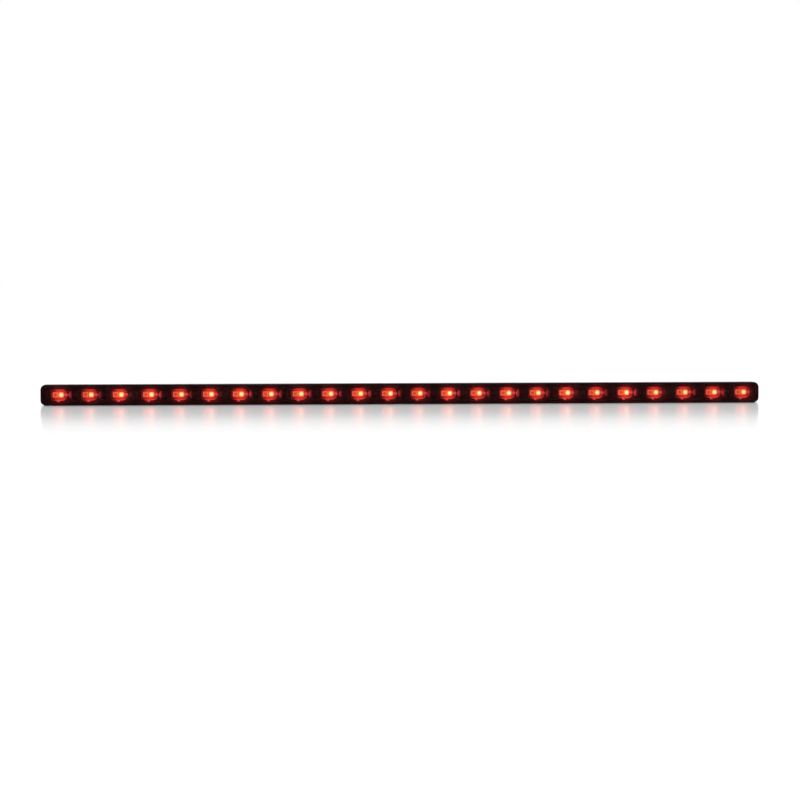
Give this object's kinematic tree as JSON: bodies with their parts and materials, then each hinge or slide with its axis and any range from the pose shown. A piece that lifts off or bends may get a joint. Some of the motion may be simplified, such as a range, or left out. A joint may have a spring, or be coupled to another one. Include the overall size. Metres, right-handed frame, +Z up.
{
  "type": "third brake light",
  "caption": "Slim surface-mount third brake light: sealed black bar with a smoked lens over a row of paired red LEDs, stuck on by foam tape.",
  "frame": {"origin": "centre of the mounting tape's back face, where the light meets the vehicle", "axes": "+X along the bar, to the right as seen from behind the vehicle; +Y from the lens to the mounting face; +Z up; the lens faces -Y"},
  "size_m": [0.432, 0.0104, 0.0124],
  "materials": {
    "housing_plastic": "fine moulded texture, black",
    "smoked_lens": "polished clear cover with a dark smoke tint",
    "reflector_plastic": "black, glossy inside the windows",
    "board_laminate": "glass-epoxy board under a black solder mask",
    "lit_led": "clear dome over a lit red chip",
    "unlit_led": "clear dome over an unlit chip in a white cup",
    "chip_epoxy": "moulded black epoxy with tinned leads",
    "tinned_metal": "dull tin on copper leads and solder",
    "seal_rubber": "cured black sealant",
    "grommet_rubber": "moulded soft rubber",
    "foam_tape": "dark grey acrylic foam, tacky face"
  },
  "bodies": {
    "root": {"mounting_tape": "foam_tape", "housing": "housing_plastic", "cable_grommet": "grommet_rubber", "circuit_board": "board_laminate", "reflector": "reflector_plastic", "lens_seal": "seal_rubber", "lens": "smoked_lens", "polarity_diode": "chip_epoxy", "current_driver_1": "chip_epoxy", "current_driver_2": "chip_epoxy", "current_driver_3": "chip_epoxy", "current_driver_4": "chip_epoxy", "brake_led_01": "lit_led", "running_led_01": "unlit_led", "brake_led_02": "lit_led", "running_led_02": "unlit_led", "brake_led_03": "lit_led", "running_led_03": "unlit_led", "brake_led_04": "lit_led", "running_led_04": "unlit_led", "brake_led_05": "lit_led", "running_led_05": "unlit_led", "brake_led_06": "lit_led", "running_led_06": "unlit_led", "brake_led_07": "lit_led", "running_led_07": "unlit_led", "brake_led_08": "lit_led", "running_led_08": "unlit_led", "brake_led_09": "lit_led", "running_led_09": "unlit_led", "brake_led_10": "lit_led", "running_led_10": "unlit_led", "brake_led_11": "lit_led", "running_led_11": "unlit_led", "brake_led_12": "lit_led", "running_led_12": "unlit_led", "brake_led_13": "lit_led", "running_led_13": "unlit_led", "brake_led_14": "lit_led", "running_led_14": "unlit_led", "brake_led_15": "lit_led", "running_led_15": "unlit_led", "brake_led_16": "lit_led", "running_led_16": "unlit_led", "brake_led_17": "lit_led", "running_led_17": "unlit_led", "brake_led_18": "lit_led", "running_led_18": "unlit_led", "brake_led_19": "lit_led", "running_led_19": "unlit_led", "brake_led_20": "lit_led", "running_led_20": "unlit_led", "brake_led_21": "lit_led", "running_led_21": "unlit_led", "brake_led_22": "lit_led", "running_led_22": "unlit_led", "brake_led_23": "lit_led", "running_led_23": "unlit_led", "brake_led_24": "lit_led", "running_led_24": "unlit_led"}
  },
  "joints": []
}
